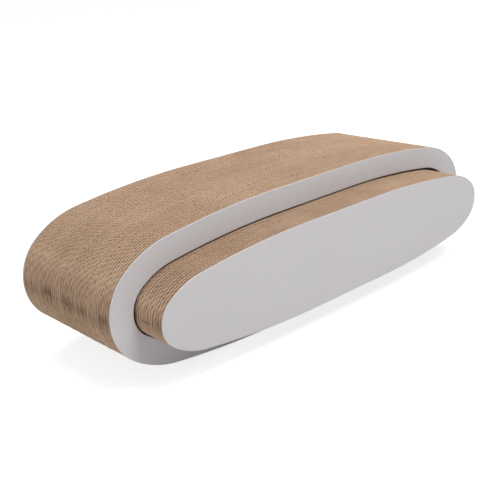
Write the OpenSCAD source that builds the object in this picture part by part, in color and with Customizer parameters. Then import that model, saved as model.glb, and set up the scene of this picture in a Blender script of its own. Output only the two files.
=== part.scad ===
// Cat scratcher in two parts: a long rounded ring, and a block that slides in its opening.
// Each is a stack of corrugated sheets on edge, closed by a plain board on both faces.
// X runs along the length, Y across the width (the block slides out towards -Y) and Z up.
// The origin is on the floor, under the middle of the ring.

/* [Ring outline] */
// Length of the ring, tip to tip
ring_length = 700; // [600:5:900]
// Height of the ring
ring_height = 189; // [176:1:240]
// Straight stretch in the middle of the top and of the bottom
flat_length = 145; // [80:1:220]
// How far the tight curve of each end reaches in from its tip
end_length = 88; // [82:1:105]
// How much lower the top is where that tight curve begins
crown_drop = 13.6; // [8:0.1:16]
// Radius of the tip of each end
tip_radius = 69; // [60:1:72]
// Thickness of the ring's wall
wall = 32.5; // [20:0.5:44]

/* [Stack] */
// Thickness of one corrugated sheet
sheet_thickness = 4.4; // [3:0.05:6]
// Glue between two sheets, and between a sheet and a face board
glue_line = 0.1; // [0.05:0.05:0.3]
// Thickness of a face board
board_thickness = 1.2; // [0.8:0.1:4]

/* [Block] */
// How far the block stands out of the ring
block_out = 54; // [10:1:80]
// Turn of the block in the ring's opening, in degrees
block_turn = 0.85; // [0:0.05:3]
// How far the block sits to the -X side of the ring's middle
block_shift = 1.3; // [0:0.1:6]
// Gap between the block and the bottom of the opening
rest_gap = 0.3; // [0.2:0.1:1]
// Gap between the block and the top of the opening
top_gap = 1.9; // [1:0.1:6]
// What the block is shorter by at each end, past the gap all round and what its place needs
end_play = 1.5; // [0.5:0.5:10]

/* [Hidden] */
// Two neighbouring sheets make a node, each a solid of its own
SHEETS_PER_NODE = 2;
BUNDLES = 21;
SHEETS = SHEETS_PER_NODE * BUNDLES;

// Two-figure number of a bundle, as in its node's name
function figures(n) = n < 10 ? str("0", n) : str(n);

KRAFT = [0.73, 0.58, 0.45];
PALE = [0.78, 0.77, 0.78];

// Facets of a full circle in the drawn mesh, many because the crown's circle is so large
ARC_FACETS = 360;
CROWN_FACETS = 1440;

// An arc stops this short of its touching point with the next, where rounding would leave a
// step too small to be an edge. The step is then some 0.001 mm.
ARC_END = 0.6;

// One step of the stack is a sheet and its glue line
pitch = sheet_thickness + glue_line;
stack_depth = SHEETS * pitch + glue_line;
depth = stack_depth + 2 * board_thickness;

// The crown is the long shallow arc between the straight and the tight curve of the end
half_length = ring_length / 2;
half_height = ring_height / 2;
half_flat = flat_length / 2;
crown_run = half_length - end_length - half_flat;
crown_radius = (crown_run * crown_run + crown_drop * crown_drop) / (2 * crown_drop);
crown_angle = acos(crown_run / crown_radius);

// The block has the opening's outline, drawn in all round by half of the gap above and below
// and shorter by the play at its ends, by its shift, and by what its turn takes up over the
// ring's depth
block_inset = wall + (rest_gap + top_gap) / 2;
block_trim = end_play + block_shift + tan(block_turn) * depth / 2;
block_z = half_height + (rest_gap - top_gap) / 2;

// Two discs of radius r, centred at c and at its mirror image below: what they share, out to
// x = reach. Such a lens has one arc of the outline above and its twin below.
module lens(c, r, reach, facets) {
  intersection() {
    translate(c) circle(r = r, $fn = facets);
    translate([c[0], -c[1]]) circle(r = r, $fn = facets);
    translate([0, -r]) square([reach, 2 * r]);
  }
}

// The outline, drawn in by inset all round, its straight shorter by trim at both ends.
// Drawing it in keeps every arc's centre and takes the inset off every radius.
module outline(inset = 0, trim = 0) {
  flat = half_flat - trim;
  crown_r = crown_radius - inset;
  crown_c = [flat, half_height - crown_radius];
  tip_r = tip_radius - inset;
  tip_c = [half_length - trim - tip_radius, 0];
  way = [cos(crown_angle), sin(crown_angle)];
  // The shoulder arc touches the crown where that ends, and the tip's circle from outside:
  // its centre lies back from the crown's end by its radius, and that much less the tip's
  // radius from the tip's centre
  span = tip_c - crown_c;
  slack = crown_r - tip_r;
  shift = (slack * slack - span * span) / (2 * (slack - span * way));
  shoulder_r = crown_r - shift;
  shoulder_c = crown_c + shift * way;
  join = tip_c - shoulder_c;
  crown_reach = crown_c[0] + crown_r * way[0] - ARC_END;
  shoulder_reach = shoulder_c[0] + shoulder_r * join[0] / norm(join) - ARC_END;
  square([2 * flat, 2 * (half_height - inset)], center = true);
  for (side = [0, 1])
    mirror([side, 0]) {
      lens(crown_c, crown_r, crown_reach, CROWN_FACETS);
      lens(shoulder_c, shoulder_r, shoulder_reach, ARC_FACETS);
      translate(tip_c) circle(r = tip_r, $fn = ARC_FACETS);
    }
}

// A flat piece on edge: its outline stands in the X-Z plane, and it reaches back from y
module plate(y, thickness)
  translate([0, y + thickness, 0]) rotate([90, 0, 0]) linear_extrude(height = thickness) children();

module ring_plate(y, thickness)
  translate([0, 0, half_height]) plate(y, thickness)
    difference() {
      outline();
      outline(inset = wall);
    }

// The block is turned about the ring's middle, and drawn forward along its own axis
module block_plate(y, thickness)
  translate([-block_shift, 0, block_z]) rotate([0, 0, -block_turn]) translate([0, -block_out, 0])
    plate(y, thickness) outline(inset = block_inset, trim = block_trim);

// Near face of sheet i, counted from 0 at the front
function sheet_y(i) = glue_line - stack_depth / 2 + i * pitch;

module ring_front_panel() color(PALE) ring_plate(-depth / 2, board_thickness);

module ring_back_panel() color(PALE) ring_plate(stack_depth / 2, board_thickness);

module block_front_panel() color(PALE) block_plate(-depth / 2, board_thickness);

module block_back_panel() color(PALE) block_plate(stack_depth / 2, board_thickness);

module ring_sheets(bundle)
  color(KRAFT)
    for (i = [0 : SHEETS_PER_NODE - 1])
      ring_plate(sheet_y(bundle * SHEETS_PER_NODE + i), sheet_thickness);

module block_sheets(bundle)
  color(KRAFT)
    for (i = [0 : SHEETS_PER_NODE - 1])
      block_plate(sheet_y(bundle * SHEETS_PER_NODE + i), sheet_thickness);

ring_front_panel();
ring_back_panel();
block_front_panel();
block_back_panel();
for (b = [1 : BUNDLES]) {
  ring_sheets(b - 1);
  block_sheets(b - 1);
}
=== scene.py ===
"""Cardboard cat scratcher: a ring of corrugated sheets, and a block that slides in its opening."""
import math

import bmesh
import bpy
import numpy as np
from mathutils import Matrix, Vector


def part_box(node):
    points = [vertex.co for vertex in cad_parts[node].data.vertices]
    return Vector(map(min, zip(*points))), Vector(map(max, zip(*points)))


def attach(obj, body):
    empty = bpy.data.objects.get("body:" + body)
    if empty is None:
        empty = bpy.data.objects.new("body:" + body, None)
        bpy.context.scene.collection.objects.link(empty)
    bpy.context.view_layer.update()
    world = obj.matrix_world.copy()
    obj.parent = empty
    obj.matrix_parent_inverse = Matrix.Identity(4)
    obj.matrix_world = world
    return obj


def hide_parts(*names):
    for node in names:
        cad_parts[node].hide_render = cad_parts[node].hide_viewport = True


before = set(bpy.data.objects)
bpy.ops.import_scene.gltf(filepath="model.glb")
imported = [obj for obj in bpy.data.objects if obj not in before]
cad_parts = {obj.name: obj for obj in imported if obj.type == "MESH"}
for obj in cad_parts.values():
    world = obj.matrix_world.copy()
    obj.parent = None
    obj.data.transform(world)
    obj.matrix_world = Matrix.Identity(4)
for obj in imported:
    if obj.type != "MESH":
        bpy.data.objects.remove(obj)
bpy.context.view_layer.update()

# Outline, in metres. Its length and height are the front board's own
RING_LOW, RING_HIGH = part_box("ring_front_panel")
HALF_LENGTH = (RING_HIGH.x - RING_LOW.x) / 2
HALF_HEIGHT = (RING_HIGH.z - RING_LOW.z) / 2
HALF_FLAT = 0.0725
END_LENGTH = 0.088
CROWN_DROP = 0.0136
TIP_RADIUS = 0.069
WALL = 0.0325

# Stack, measured on the frame's nodes of sheets, which hold two sheets each
SHEETS_PER_NODE = 2
BUNDLES = sum(name.startswith("ring_sheets_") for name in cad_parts)
STACK_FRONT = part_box("ring_sheets_01")[0].y
PITCH = (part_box("ring_sheets_02")[0].y - STACK_FRONT) / SHEETS_PER_NODE
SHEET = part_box("ring_sheets_01")[1].y - STACK_FRONT - PITCH * (SHEETS_PER_NODE - 1)
BOARD = RING_HIGH.y - RING_LOW.y
FRONT = RING_LOW.y
BACK_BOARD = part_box("ring_back_panel")[0].y
DEPTH = BACK_BOARD + BOARD - FRONT

# Block: how far it stands out and to the side, how it is turned, and how its outline is drawn in
BLOCK_OUT = 0.054
BLOCK_TURN = math.radians(0.85)
BLOCK_SHIFT = 0.0013
REST_GAP = 0.0003
TOP_GAP = 0.0019
END_PLAY = 0.0015
BLOCK_INSET = WALL + (REST_GAP + TOP_GAP) / 2
BLOCK_TRIM = END_PLAY + BLOCK_SHIFT + math.tan(BLOCK_TURN) * DEPTH / 2

# Papers of one double-wall sheet, front to back: face, fine flutes, middle, coarse flutes, face
FACE_PAPER = 0.0003
FLUTE_PAPER = 0.0003
FINE_PITCH = 0.00317
COARSE_PITCH = 0.00633
FINE_SHARE = 0.32
FINE_HEIGHT = (SHEET - 3 * FACE_PAPER) * FINE_SHARE
COARSE_HEIGHT = SHEET - 3 * FACE_PAPER - FINE_HEIGHT
# Points along one flute, and the distance between points along a flat paper
FINE_STEPS, COARSE_STEPS = 4, 8
FLAT_STEP = 0.006

# How uneven the cut is: up and down, from paper to paper lengthwise, from sheet to sheet lengthwise
CUT_DEPTH = 0.0004
PAPER_PULL = 0.0005
SHEET_PULL = 0.0003
# Shares of that depth by which a whole paper is cut low, and by which its edge wanders in long waves
LOW_SHARE, WANDER_SHARE = 0.3, 0.5
WANDER_WAVE = 0.02

# How far the flutes lean lengthwise, as a share of their height, pressed over when they were cut
LEAN = -0.6
# Turn of the flutes from one sheet to the next, its slow change through the stack, and its scatter
NEXT_TURN, NEXT_DRIFT, NEXT_SCATTER = 2.6, 1.0, 0.5
NEXT_WAVE = 0.5
# Slow change of a flute's turn and the loss of its height along a sheet
TURN_DRIFT, TURN_WAVE = 0.5, 0.09
HEIGHT_LOSS, HEIGHT_WAVE = 0.06, 0.05

# Where the paper starts to take painted shade and where the shade is full, in heights of the flute that it
# leads into
SHADE_FROM, SHADE_TO = 0.03, 0.21
# The painted shade comes on slower where the outline turns down: a power of how squarely it faces up
PACE_POWER = 3
# At the tips, where the flutes lie open: least pace and strength of the painted shade as shares of
# those on the straight, and how squarely the outline faces up where it begins to stay paler, with weaker
# painted shade
TIP_PACE, TIP_SHADE, TIP_FROM = 0.25, 0.3, 0.75
# How much lighter the fluted papers are than the flat ones, in steps of the papers' own spread
FLUTE_TONE = 3.0

# How far the cut edges are pushed over across the stack towards the tips, and how long the waves are
SWAY = 0.0007
SWAY_WAVE = 0.03
# How fast the sway comes in behind the boards
SWAY_RISE = 12

# Shortest wave of a slow change, as a share of the wave asked for, and how much longer one may be
WAVE_LEAST, WAVE_SPREAD = 0.6, 0.9

# Face board: its outer papers, how round its corners are, and how far its core lies in
SKIN = 0.0004
CORNER = 0.0003
CORE_IN = 0.00008
# Strip of the face along its corner, and where the corner is cut across between its two ends
FACE_STRIP = 5 * CORNER
ACROSS_CORNER = 0.3 * CORNER
# Distance between points along its outline, and the turn from which its edges are sharp
BOARD_STEP = 0.003
SHARP = math.radians(25)

# Fewest points on a straight and on an arc of the outline
STRAIGHT_LEAST, ARC_LEAST = 2, 8

SEED = 20
TINY = 0.00001

# Colours: kraft paper darkest and lightest, the painted shade far inside a flute, then the board's lining
# and its rim
KRAFT_DARK = (0.365, 0.238, 0.155)
KRAFT_LIGHT = (0.62, 0.452, 0.32)
# Painted shade: the colour the paper turns to far inside a flute
KRAFT_PAINTED_SHADE = (0.06, 0.018, 0.006)
LINING_DARK = (0.6, 0.575, 0.59)
LINING_LIGHT = (0.715, 0.695, 0.705)
RIM = (0.47, 0.45, 0.45)

# Kraft paper: how much the sheet's tone, the blotches and the fibres each change its colour
TONE_GAIN, BLOTCH_GAIN, FIBRE_GAIN = 0.05, 0.8, 0.9
# Board: how much its clouds change its colour and from what start, and how much its grain does
CLOUD_GAIN, CLOUD_START = 0.3, 0.15
GRAIN_GAIN = 0.2
# Roughness of paper and board: how much the fibres or the grain change it, and from what start
PAPER_ROUGHNESS = (0.2, 0.78)
BOARD_ROUGHNESS = (0.15, 0.5)
# Scales of noise, in features per metre
BLOTCH_SCALE = 14.0
PAPER_FIBRES, CUT_FIBRES = 700.0, 1800.0
CLOUD_SCALE, GRAIN_SCALE = 5.0, 1400.0
# Depth of the bump on paper and on board
PAPER_BUMP, BOARD_BUMP = 0.0002, 0.00003

# Floor: its own colour, how far from the object it turns all white, and how white it is near by
FLOOR = (0.6, 0.6, 0.6, 1.0)
WHITE_FROM, WHITE_TO = 0.7, 1.8
NEAR_WHITE = 0.78
# What the lamps point at
AIM = (0.0, 0.0, 0.1)


class Outline:
    """The rounded outline drawn in by inset all round and shortened by trim at both ends.

    A quarter of it is a straight, a long crown arc, a shoulder arc and a tip arc, each tangent to the next.
    """

    def __init__(self, inset=0.0, trim=0.0):
        self.inset, self.trim = inset, trim
        self.half_length = HALF_LENGTH - inset - trim
        run = HALF_LENGTH - END_LENGTH - HALF_FLAT
        crown_radius = (run ** 2 + CROWN_DROP ** 2) / (2 * CROWN_DROP)
        crown = np.array([HALF_FLAT, HALF_HEIGHT - crown_radius])
        tip = np.array([HALF_LENGTH - TIP_RADIUS, 0.0])
        way = np.array([run, crown_radius - CROWN_DROP]) / crown_radius
        span, slack = tip - crown, crown_radius - TIP_RADIUS
        shift = (slack ** 2 - span @ span) / (2 * (slack - span @ way))
        shoulder = crown + shift * way
        join = (tip - shoulder) / np.linalg.norm(tip - shoulder)
        # Each arc: its centre, its radius, and the ways from its centre to where it starts and ends
        self.arcs = [
            (crown, crown_radius - inset, np.array([0.0, 1.0]), way),
            (shoulder, crown_radius - shift - inset, way, join),
            (tip, TIP_RADIUS - inset, join, np.array([1.0, 0.0])),
        ]

    def height(self, x):
        """Half height of the outline at x, which is zero past its end."""
        along = np.abs(x) + self.trim
        found = np.full(along.shape, HALF_HEIGHT - self.inset)
        for centre, radius, start, _ in self.arcs:
            arc = np.sqrt(np.maximum(radius ** 2 - (along - centre[0]) ** 2, 0.0)) + centre[1]
            found = np.where(along > centre[0] + radius * start[0], arc, found)
        return np.where(along < HALF_LENGTH - self.inset, np.maximum(found, 0.0), 0.0)

    def upright(self, x):
        """How squarely the outline faces up at x: 1 on its straight, 0 at its tip."""
        along = np.abs(x) + self.trim
        upright = np.ones(along.shape)
        for centre, radius, start, _ in self.arcs:
            share = np.sqrt(np.maximum(1 - ((along - centre[0]) / radius) ** 2, 0.0))
            upright = np.where(along > centre[0] + radius * start[0], share, upright)
        return upright

    def quarter(self, step):
        """Points and outward normals from the middle of the top to the tip, about step apart."""
        count = max(STRAIGHT_LEAST, round((HALF_FLAT - self.trim) / step))
        x = np.linspace(0.0, HALF_FLAT - self.trim, count, endpoint=False)
        points = [np.column_stack([x, np.full(count, HALF_HEIGHT - self.inset)])]
        normals = [np.tile([0.0, 1.0], (count, 1))]
        for centre, radius, start, end in self.arcs:
            first, last = math.atan2(start[1], start[0]), math.atan2(end[1], end[0])
            count = max(ARC_LEAST, round((first - last) * radius / step))
            angle = np.linspace(first, last, count, endpoint=False)
            normal = np.column_stack([np.cos(angle), np.sin(angle)])
            points.append(centre + radius * normal - [self.trim, 0.0])
            normals.append(normal)
        points.append([[self.half_length, 0.0]])
        normals.append([[1.0, 0.0]])
        return np.vstack(points), np.vstack(normals)

    def loop(self, step):
        """Points and outward normals all the way round, from the middle of the top and first to +X."""
        def all_round(quarter):
            right = np.vstack([quarter, quarter[-2::-1] * [1, -1]])
            return np.vstack([right, right[-2:0:-1] * [-1, 1]])

        points, normals = self.quarter(step)
        return all_round(points), all_round(normals)


def ring_place(points):
    """Stands a ring piece's points on the floor."""
    return points + [0.0, 0.0, HALF_HEIGHT]


def block_place(points):
    """Puts a block piece's points where the block stands: drawn forward, turned and set to the side."""
    turn = np.array(Matrix.Rotation(-BLOCK_TURN, 3, "Z"))
    rise = HALF_HEIGHT + (REST_GAP - TOP_GAP) / 2
    return (points - [0.0, BLOCK_OUT, 0.0]) @ turn.T + [-BLOCK_SHIFT, 0.0, rise]


def wave_length(wave, rng):
    return wave * (WAVE_LEAST + WAVE_SPREAD * rng.random())


def drift(x, wave, rng, waves=5):
    """Slow wander of about -1 to 1 along x, with features about wave long."""
    total = np.zeros_like(x)
    for _ in range(waves):
        length = wave_length(wave, rng)
        total += np.sin(2 * math.pi * (x / length + rng.random()))
    return total / math.sqrt(waves)


def sway(x, y, waves=9):
    """How far the cut edges are pushed over at a place on the stack, nothing at the boards."""
    rng = np.random.default_rng(SEED)
    total = np.zeros_like(x)
    for _ in range(waves):
        length = wave_length(SWAY_WAVE, rng)
        angle = 2 * math.pi * rng.random()
        across = x * math.cos(angle) + y * math.sin(angle)
        total += np.sin(2 * math.pi * (across / length + rng.random()))
    inward = (y - STACK_FRONT) / (BACK_BOARD - STACK_FRONT)
    return SWAY / math.sqrt(waves) * total * np.clip(SWAY_RISE * inward * (1 - inward), 0.0, 1.0)


class Papers:
    """Strips of paper on edge, gathered into one mesh."""

    def __init__(self):
        self.points, self.quads, self.cut, self.tone, self.sunk = [], [], [], [], []
        self.count = 0

    def add(self, front, back, outer, inner, upright, rooms, tone):
        """A strip between two lines of X-Y points, up and down to outer and open within inner.

        The attribute sunk says how far below the cut a point of the paper lies, from outside and
        from the opening, in heights of the room that it faces, and how strong the painted shade can get
        there; the paper's material paints shade into the flutes from it. rooms are these heights in
        front and behind, and upright says how squarely outline and opening face up there.
        """
        stations = len(front)
        points = np.empty((2, stations, 4, 3))
        points[..., :2] = np.stack([front, back])[:, :, None, :]
        points[..., 2] = np.column_stack([-outer, -inner, inner, outer])
        at_edge = np.array([True, False, False, True])
        pushed = (sway(*front.T) * (1 - upright[0]))[:, None]
        points[..., 1] += np.where(at_edge, pushed, 0.0)
        open_wall = (outer - inner)[:, None]
        pace = np.maximum(np.power(upright, PACE_POWER), TIP_PACE)
        down = np.where(at_edge, 0.0, open_wall) * pace[0][:, None]
        up = np.where(at_edge, open_wall, 0.0) * pace[1][:, None]
        up = np.where((inner > 0)[:, None], up, 1.0)
        # How strong the painted shade inside the flutes can get: weaker at the tips
        dark = TIP_SHADE + (1 - TIP_SHADE) * np.minimum(upright[0] / TIP_FROM, 1.0)
        dark = np.broadcast_to(dark[:, None], down.shape)
        sunk = np.stack([np.stack([down / room, up / room, dark], axis=-1) for room in rooms])
        index = np.arange(2 * stations * 4).reshape(2, stations, 4)
        shut = inner <= 0
        index[:, shut, 2] = index[:, shut, 1]
        f, b = index
        quads, cut = [], []

        def face(corners, is_cut):
            quads.append(np.stack(corners, axis=-1).reshape(-1, 4))
            cut.append(np.full(len(quads[-1]), is_cut))

        for low, high in ((0, 1), (2, 3)):
            face([f[:-1, low], f[1:, low], f[1:, high], f[:-1, high]], False)
            face([b[:-1, high], b[1:, high], b[1:, low], b[:-1, low]], False)
            face([f[:1, low], f[:1, high], b[:1, high], b[:1, low]], True)
            face([b[-1:, low], b[-1:, high], f[-1:, high], f[-1:, low]], True)
        every = np.ones(stations - 1, bool)
        opened = ~(shut[:-1] & shut[1:])
        for level, keep in ((1, opened), (3, every)):
            face([side[keep] for side in (f[:-1, level], f[1:, level], b[1:, level], b[:-1, level])], True)
        for level, keep in ((0, every), (2, opened)):
            face([side[keep] for side in (b[:-1, level], b[1:, level], f[1:, level], f[:-1, level])], True)
        used, quads = np.unique(np.vstack(quads), return_inverse=True)
        self.points.append(points.reshape(-1, 3)[used])
        self.sunk.append(sunk.reshape(-1, 3)[used])
        self.quads.append(quads.reshape(-1, 4) + self.count)
        self.cut.append(np.concatenate(cut))
        self.tone.append(np.full(len(used), tone))
        self.count += len(used)

    def make(self, name, place):
        """The gathered strips as an object whose cut edges have their own material."""
        points, quads = place(np.vstack(self.points)), np.vstack(self.quads)
        cut, tone = np.concatenate(self.cut), np.concatenate(self.tone)
        mesh = bpy.data.meshes.new(name)
        mesh.vertices.add(len(points))
        mesh.vertices.foreach_set("co", points.astype(np.float32).ravel())
        mesh.loops.add(quads.size)
        mesh.loops.foreach_set("vertex_index", quads.astype(np.int32).ravel())
        mesh.polygons.add(len(quads))
        mesh.polygons.foreach_set("loop_start", np.arange(0, quads.size, 4, dtype=np.int32))
        mesh.update(calc_edges=True)
        mesh.materials.append(PAPER)
        mesh.materials.append(CUT_EDGE)
        mesh.polygons.foreach_set("material_index", cut.astype(np.int32))
        mesh.polygons.foreach_set("use_smooth", ~cut)
        mesh.attributes.new("tone", "FLOAT", "POINT").data.foreach_set("value", tone.astype(np.float32))
        sunk = np.vstack(self.sunk).astype(np.float32)
        mesh.attributes.new("sunk", "FLOAT_VECTOR", "POINT").data.foreach_set("vector", sunk.ravel())
        return link(name, mesh)


def link(name, mesh):
    piece = bpy.data.objects.new(name, mesh)
    bpy.context.scene.collection.objects.link(piece)
    return piece


def sheet(name, outline, hole, front, phases, rng, place):
    """One double-wall sheet on edge: three flat papers with fine and coarse flutes between them."""
    papers = Papers()

    def stand(front_line, back_line, pull, rooms, tone):
        x = (front_line[:, 0] + back_line[:, 0]) / 2
        along = np.abs(x) + pull
        low = LOW_SHARE * rng.random() + WANDER_SHARE * np.abs(drift(x, WANDER_WAVE, rng))
        outer = np.maximum(outline.height(along) - CUT_DEPTH * low, CUT_DEPTH / 2)
        inner = np.zeros_like(x)
        if hole:
            opening = hole.height(x)
            inner = np.where(opening > 0, opening + CUT_DEPTH * rng.random(), 0.0)
            inner = np.minimum(inner, outer)
        upright = outline.upright(along), hole.upright(x) if hole else inner
        papers.add(front_line, back_line, outer, inner, upright, rooms, rng.normal() + tone)

    def flat_paper(y, rooms):
        pull = PAPER_PULL * rng.random()
        end = outline.half_length - pull - TINY
        bends = [curve.quarter(FLAT_STEP)[0][:-1, 0] for curve in (outline, hole) if curve]
        x = np.unique(np.round(np.concatenate([*bends, [end]]) / TINY)) * TINY
        x = x[x <= end + TINY / 2]
        x = np.concatenate([-x[:0:-1], x])
        line = np.column_stack([x, np.full_like(x, y)])
        stand(line, line + [0.0, FACE_PAPER], pull, rooms, -FLUTE_TONE / 2)

    def fluted_paper(y, height, pitch, steps, turned):
        pull = PAPER_PULL * rng.random()
        end = outline.half_length - pull - FLUTE_PAPER / 2
        x = np.linspace(-end, end, int(2 * end / pitch * steps))
        turn = 2 * math.pi * x / pitch + turned + TURN_DRIFT * drift(x, TURN_WAVE, rng)
        loss = HEIGHT_LOSS * np.abs(drift(x, HEIGHT_WAVE, rng))
        reach = (height - FLUTE_PAPER) / 2 * (1 - loss)
        wave = y + height / 2 + reach * np.sin(turn)
        slope = np.gradient(wave, x)
        half_paper = (FLUTE_PAPER / 2 / np.hypot(slope, 1.0))[:, None]
        aside = np.column_stack([slope, -np.ones_like(x)]) * half_paper
        line = np.column_stack([x + LEAN * (wave - y - height / 2), wave])
        kept = np.abs(line[:, 0]) < end
        rooms = height, height
        stand((line + aside)[kept], (line - aside)[kept], pull, rooms, FLUTE_TONE / 2)

    flat_paper(front, (COARSE_HEIGHT, FINE_HEIGHT))
    fluted_paper(front + FACE_PAPER, FINE_HEIGHT, FINE_PITCH, FINE_STEPS, phases[0])
    middle = front + FACE_PAPER + FINE_HEIGHT
    flat_paper(middle, (FINE_HEIGHT, COARSE_HEIGHT))
    fluted_paper(middle + FACE_PAPER, COARSE_HEIGHT, COARSE_PITCH, COARSE_STEPS, phases[1])
    flat_paper(front + SHEET - FACE_PAPER, (COARSE_HEIGHT, FINE_HEIGHT))
    shift = SHEET_PULL * (2 * rng.random() - 1)
    return papers.make(name, lambda points: place(points + [shift, 0.0, 0.0]))


def board_edge():
    """A board's edge from its front face round to its back, as how far in and how far back each point is."""
    half = [(FACE_STRIP, 0.0), (CORNER, 0.0), (ACROSS_CORNER, ACROSS_CORNER), (0.0, CORNER),
            (0.0, SKIN), (CORE_IN, SKIN + CORE_IN)]
    return half + [(inset, BOARD - back) for inset, back in reversed(half)]


def board(name, outline, section, filled, front, place):
    """A face board: a section swept round the outline, its faces filled where it has no opening."""
    points, normals = outline.loop(BOARD_STEP)
    shape = bmesh.new()
    rim = shape.verts.layers.float.new("rim")
    loops = []
    for inset, back in section:
        at = points - normals * inset
        at = place(np.column_stack([at[:, 0], np.full(len(at), front + back), at[:, 1]]))
        loops.append([shape.verts.new(p) for p in at])
        nearest = inset if filled else min(inset, WALL - inset)
        for vert in loops[-1]:
            vert[rim] = float(nearest < CORNER)
    pairs = list(zip(loops, loops[1:] + loops[:1]))
    for loop, after in pairs[:-1] if filled else pairs:
        for k in range(len(loop)):
            shape.faces.new([loop[k - 1], loop[k], after[k], after[k - 1]])
    if filled:
        shape.faces.new(loops[0])
        shape.faces.new(loops[-1])
    bmesh.ops.recalc_face_normals(shape, faces=shape.faces)
    mesh = bpy.data.meshes.new(name)
    shape.to_mesh(mesh)
    shape.free()
    mesh.materials.append(BOARD_FACE)
    mesh.shade_smooth()
    mesh.set_sharp_from_angle(angle=SHARP)
    return link(name, mesh)


def shader(name, roughness):
    """A new material's node tree and its Principled shader."""
    material = bpy.data.materials.new(name)
    material.use_nodes = True
    tree = material.node_tree
    principled = tree.nodes["Principled BSDF"]
    principled.inputs["Roughness"].default_value = roughness
    return material, tree, principled


def node(tree, kind, **values):
    """A node with its settings or inputs set by name. A value that is another node's socket is linked."""
    made = tree.nodes.new("ShaderNode" + kind)
    for name, value in values.items():
        if hasattr(made, name):
            setattr(made, name, value)
            continue
        if name.startswith("input"):
            socket = made.inputs[int(name.removeprefix("input"))]
        else:
            socket = made.inputs[name.replace("_", " ")]
        if isinstance(value, bpy.types.NodeSocket):
            tree.links.new(value, socket)
        else:
            socket.default_value = value
    return made


def noise(tree, scale, detail=2.0, stretch=(1, 1, 1)):
    """Noise on the piece's own coordinates, about 0 to 1."""
    place = node(tree, "TexCoord").outputs["Object"]
    if stretch != (1, 1, 1):
        place = node(tree, "Mapping", Vector=place, Scale=stretch).outputs[0]
    return node(tree, "TexNoise", Vector=place, Scale=scale, Detail=detail).outputs["Fac"]


def math_of(tree, operation, first, second):
    return node(tree, "Math", operation=operation, input0=first, input1=second).outputs[0]


def scaled(tree, value, gain, start=0.0):
    return node(tree, "Math", operation="MULTIPLY_ADD", input0=value, input1=gain, input2=start).outputs[0]


def swung(tree, value, gain):
    """A value of about 0 to 1 turned into one that swings by gain about zero."""
    return scaled(tree, value, gain, -gain / 2)


def summed(tree, *values):
    total = values[0]
    for value in values[1:]:
        total = math_of(tree, "ADD", total, value)
    return total


def between(tree, share, first, second):
    """A mix of two colours, each of them a fixed colour or another node's socket."""
    mixed = node(tree, "Mix", data_type="RGBA", Factor=share)
    for socket, colour in zip(mixed.inputs[6:8], (first, second)):
        if isinstance(colour, bpy.types.NodeSocket):
            tree.links.new(colour, socket)
        else:
            socket.default_value = (*colour, 1.0)
    return mixed.outputs[2]


def bump(tree, principled, height, depth):
    made = node(tree, "Bump", Height=height, Distance=depth)
    tree.links.new(made.outputs[0], principled.inputs["Normal"])


def kraft(name, grain, painted_shade=None):
    """Brown paper: mottled, each sheet of its own tone, with fibres as fine as grain per metre.

    With a shade colour given, shade is painted: the paper turns to that colour further inside the flutes.
    """
    material, tree, principled = shader(name, 0.9)
    principled.inputs["Specular IOR Level"].default_value = 0.06
    tone = node(tree, "Attribute", attribute_name="tone").outputs["Fac"]
    blotch = noise(tree, BLOTCH_SCALE, detail=4.0)
    fibre = noise(tree, grain, detail=3.0, stretch=(1.0, 1.0, 0.3))
    share = summed(tree, scaled(tree, tone, TONE_GAIN, 0.5), swung(tree, blotch, BLOTCH_GAIN),
                   swung(tree, fibre, FIBRE_GAIN))
    colour = between(tree, share, KRAFT_DARK, KRAFT_LIGHT)
    if painted_shade:
        sunk = node(tree, "Attribute", attribute_name="sunk").outputs["Vector"]
        ways = node(tree, "SeparateXYZ", Vector=sunk).outputs
        nearest = math_of(tree, "MINIMUM", ways["X"], ways["Y"])
        inside = node(tree, "MapRange", interpolation_type="SMOOTHSTEP", Value=nearest,
                      From_Min=SHADE_FROM, From_Max=SHADE_TO).outputs[0]
        # Painted shade: the paper turns towards the shade colour further inside the flutes
        colour = between(tree, math_of(tree, "MULTIPLY", inside, ways["Z"]), colour, painted_shade)
    tree.links.new(colour, principled.inputs["Base Color"])
    tree.links.new(scaled(tree, fibre, *PAPER_ROUGHNESS), principled.inputs["Roughness"])
    bump(tree, principled, fibre, PAPER_BUMP)
    return material


def face_board():
    """Grey-white lined board, greyer where its edge is cut."""
    material, tree, principled = shader("face_board", 0.6)
    rim = node(tree, "Attribute", attribute_name="rim").outputs["Fac"]
    cloud = noise(tree, CLOUD_SCALE, detail=3.0)
    grain = noise(tree, GRAIN_SCALE)
    share = summed(tree, scaled(tree, cloud, CLOUD_GAIN, CLOUD_START), swung(tree, grain, GRAIN_GAIN))
    lining = between(tree, share, LINING_DARK, LINING_LIGHT)
    colour = between(tree, rim, lining, RIM)
    tree.links.new(colour, principled.inputs["Base Color"])
    tree.links.new(scaled(tree, grain, *BOARD_ROUGHNESS), principled.inputs["Roughness"])
    bump(tree, principled, grain, BOARD_BUMP)
    return material


# The paper gets painted shade inside the flutes; the cut edges do not
PAPER = kraft("kraft_paper", PAPER_FIBRES, KRAFT_PAINTED_SHADE)
CUT_EDGE = kraft("kraft_cut_edge", CUT_FIBRES)
BOARD_FACE = face_board()


def body(piece, body_name, slot, *nodes):
    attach(piece, body_name)
    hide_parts(*nodes)


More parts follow.
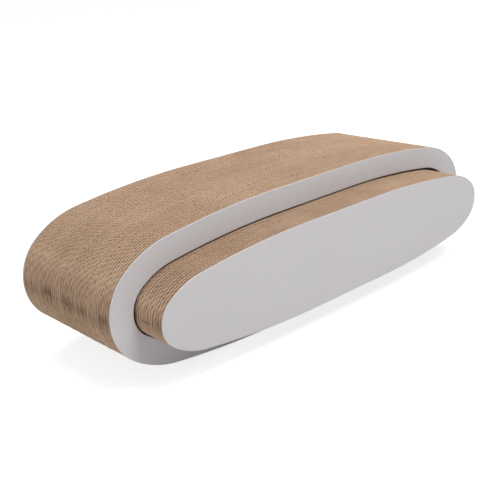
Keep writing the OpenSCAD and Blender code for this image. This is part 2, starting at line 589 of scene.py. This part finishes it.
def stack(part, outline, hole, place):
    """The sheets of the ring or of the block, each a piece of its own."""
    rng = np.random.default_rng([SEED, len(part)])
    sheets = BUNDLES * SHEETS_PER_NODE
    along = np.arange(sheets) / sheets

    def turns():
        change = NEXT_DRIFT * drift(along, NEXT_WAVE, rng)
        return np.cumsum(NEXT_TURN + change + NEXT_SCATTER * rng.normal(size=sheets))

    fine, coarse = turns(), turns()
    for k, phases in enumerate(zip(fine, coarse)):
        front = STACK_FRONT + k * PITCH
        piece = sheet(f"{part}_sheet_{k + 1:02d}", outline, hole, front, phases, rng, place)
        body(piece, part, "corrugated", f"{part}_sheets_{k // SHEETS_PER_NODE + 1:02d}")


def boards(part, outline, section, filled, place):
    for side, front in (("front", FRONT), ("back", BACK_BOARD)):
        piece = board(f"{part}_{side}_board", outline, section, filled, front, place)
        body(piece, part, "face_board", f"{part}_{side}_panel")


ring_outline = Outline()
block_outline = Outline(BLOCK_INSET, BLOCK_TRIM)
edge = board_edge()
ring_section = edge + [(WALL - inset, back) for inset, back in reversed(edge)]
boards("ring", ring_outline, ring_section, False, ring_place)
boards("block", block_outline, edge, True, block_place)
stack("ring", Outline(0.0, SHEET_PULL), Outline(WALL, -SHEET_PULL), ring_place)
stack("block", Outline(BLOCK_INSET, BLOCK_TRIM + SHEET_PULL), None, block_place)


def seen_rays(tree):
    """1 on the rays by which the camera sees a surface, straight or by way of gloss or glass."""
    paths = node(tree, "LightPath").outputs
    return summed(tree, paths["Is Camera Ray"], paths["Is Glossy Ray"], paths["Is Transmission Ray"])


def floor():
    """A plain pale floor, white to the camera, that keeps the shadow. Far off it is all white."""
    bpy.ops.mesh.primitive_plane_add(size=12.0)
    piece = bpy.context.object
    piece.name = "floor"
    material, tree, principled = shader("floor", 0.9)
    principled.inputs["Base Color"].default_value = FLOOR
    principled.inputs["Specular IOR Level"].default_value = 0.0
    place = node(tree, "TexCoord").outputs["Object"]
    away = node(tree, "VectorMath", operation="LENGTH", Vector=place).outputs["Value"]
    white = node(tree, "MapRange", Value=away, From_Min=WHITE_FROM, From_Max=WHITE_TO,
                 To_Min=NEAR_WHITE).outputs[0]
    glow = node(tree, "Emission", Strength=math_of(tree, "MULTIPLY", seen_rays(tree), white))
    both = node(tree, "AddShader", input0=principled.outputs[0], input1=glow.outputs[0])
    tree.links.new(both.outputs[0], tree.nodes["Material Output"].inputs["Surface"])
    piece.data.materials.append(material)


def area_light(name, place, size, power):
    light = bpy.data.lights.new(name, "AREA")
    light.size = size
    light.energy = power
    lamp = bpy.data.objects.new(name, light)
    lamp.location = place
    lamp.rotation_euler = (Vector(AIM) - Vector(place)).to_track_quat("-Z", "Y").to_euler()
    bpy.context.scene.collection.objects.link(lamp)


def surroundings(strength):
    """A white room: it lights the object evenly, and the camera sees it white."""
    world = bpy.data.worlds.new("studio")
    world.use_nodes = True
    tree = world.node_tree
    level = node(tree, "Mix", data_type="FLOAT", Factor=seen_rays(tree))
    level.inputs[2].default_value = strength
    level.inputs[3].default_value = 1.0
    tree.links.new(level.outputs[0], tree.nodes["Background"].inputs["Strength"])
    tree.nodes["Background"].inputs["Color"].default_value = (1.0, 1.0, 1.0, 1.0)
    bpy.context.scene.world = world


def camera(place, yaw, pitch, roll, lens):
    """yaw turns the view from +Y towards +X, pitch tips it down, and roll turns it about itself."""
    data = bpy.data.cameras.new("camera")
    data.lens = lens
    made = bpy.data.objects.new("camera", data)
    turn = (Matrix.Rotation(math.radians(-yaw), 4, "Z") @ Matrix.Rotation(math.radians(90 - pitch), 4, "X")
            @ Matrix.Rotation(math.radians(-roll), 4, "Z"))
    made.matrix_world = Matrix.Translation(place) @ turn
    bpy.context.scene.collection.objects.link(made)
    bpy.context.scene.camera = made


floor()
surroundings(strength=0.25)
area_light("overhead", (0.0, 0.0, 2.2), size=1.5, power=7.0)
area_light("front", (0.1, -0.8, 1.75), size=1.0, power=27.0)
area_light("left", (-1.7, -0.3, 0.3), size=1.0, power=10.5)
area_light("behind", (0.3, 1.2, 1.8), size=1.0, power=17.0)
camera((-0.77687, -0.78263, 0.47207), yaw=43.199, pitch=20.481, roll=3.015, lens=56.979)
bpy.context.scene.view_settings.view_transform = "Standard"
